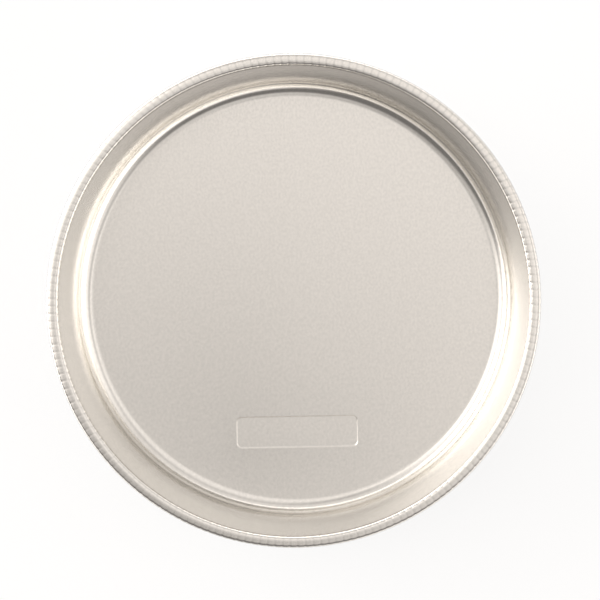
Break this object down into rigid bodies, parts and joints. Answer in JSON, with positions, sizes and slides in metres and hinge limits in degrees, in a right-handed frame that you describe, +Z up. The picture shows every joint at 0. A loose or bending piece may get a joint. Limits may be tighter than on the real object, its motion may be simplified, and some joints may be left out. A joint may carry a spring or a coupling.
{
  "type": "round cake pan",
  "caption": "Round natural-aluminium cake pan with a flat floor, rounded corner, slightly tapered wall and a crimped rim curled over a steel wire.",
  "frame": {"origin": "centre of the pan's underside", "axes": "+Z up along the pan's axis, -Y towards the stamped panel in the floor, +X to the panel's right seen from above"},
  "size_m": [0.2478, 0.2478, 0.057],
  "materials": {
    "natural_aluminium": "uncoated drawn sheet, satin with a fine mill grain",
    "galvanised_steel": "dull zinc-coated wire"
  },
  "bodies": {
    "root": {"pan_shell": "natural_aluminium", "rim_wire": "galvanised_steel"}
  },
  "joints": []
}
